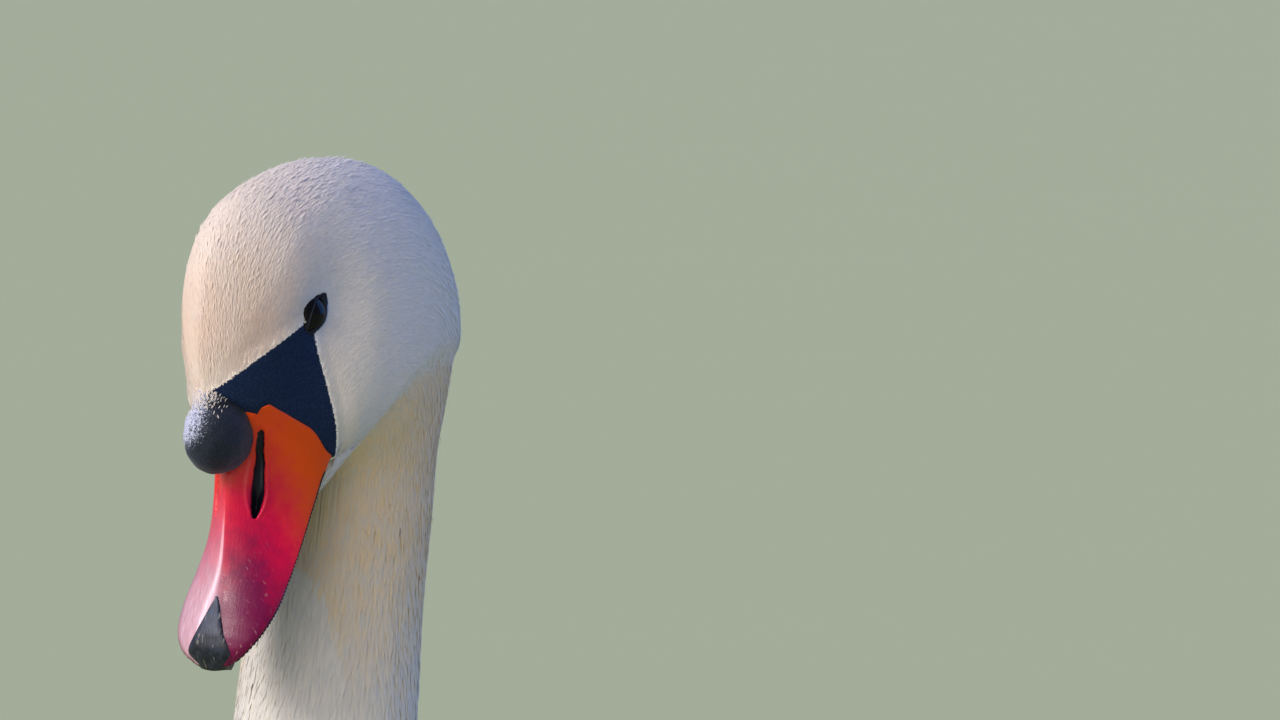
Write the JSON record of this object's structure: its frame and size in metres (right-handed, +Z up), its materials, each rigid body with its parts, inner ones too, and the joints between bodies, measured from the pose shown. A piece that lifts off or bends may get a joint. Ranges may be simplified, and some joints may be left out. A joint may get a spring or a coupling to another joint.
{
  "type": "mute swan",
  "caption": "Life-size still model of a standing adult mute swan with upright neck, lowered orange bill with black knob, folded wings and webbed feet.",
  "frame": {"origin": "Middle of the bounding box in plan, at the height of the soles", "axes": "+Z up, the bird faces -Y, its left side is +X; symmetric about the YZ plane"},
  "size_m": [0.3316, 0.845, 1.0823],
  "materials": {
    "down": "soft white contour feathers, matt",
    "cream_down": "short velvety feathers stained cream, matt",
    "quills": "firm white vanes, matt",
    "black_skin": "bare black skin, dull",
    "orange_horn": "smooth orange-red horn, satin",
    "dark_horn": "grey-black horn, satin",
    "eye": "wet dark brown"
  },
  "bodies": {
    "root": {"bill_lower": "black_skin", "bill_nail": "dark_horn", "bill_upper": "orange_horn", "claw_left_hind": "dark_horn", "claw_left_inner": "dark_horn", "claw_left_middle": "dark_horn", "claw_left_outer": "dark_horn", "claw_right_hind": "dark_horn", "claw_right_inner": "dark_horn", "claw_right_middle": "dark_horn", "claw_right_outer": "dark_horn", "eye_left": "eye", "eye_right": "eye", "foot_left": "black_skin", "foot_right": "black_skin", "head": "cream_down", "hind_toe_left": "black_skin", "hind_toe_right": "black_skin", "knob": "black_skin", "neck_lower": "down", "neck_middle": "down", "neck_upper": "cream_down", "shank_left": "black_skin", "shank_right": "black_skin", "tail": "quills", "thigh_left": "down", "thigh_right": "down", "trunk": "down", "wing_left_coverts": "quills", "wing_left_secondaries": "quills", "wing_left_shoulder": "quills", "wing_left_tip": "quills", "wing_right_coverts": "quills", "wing_right_secondaries": "quills", "wing_right_shoulder": "quills", "wing_right_tip": "quills"}
  },
  "joints": []
}
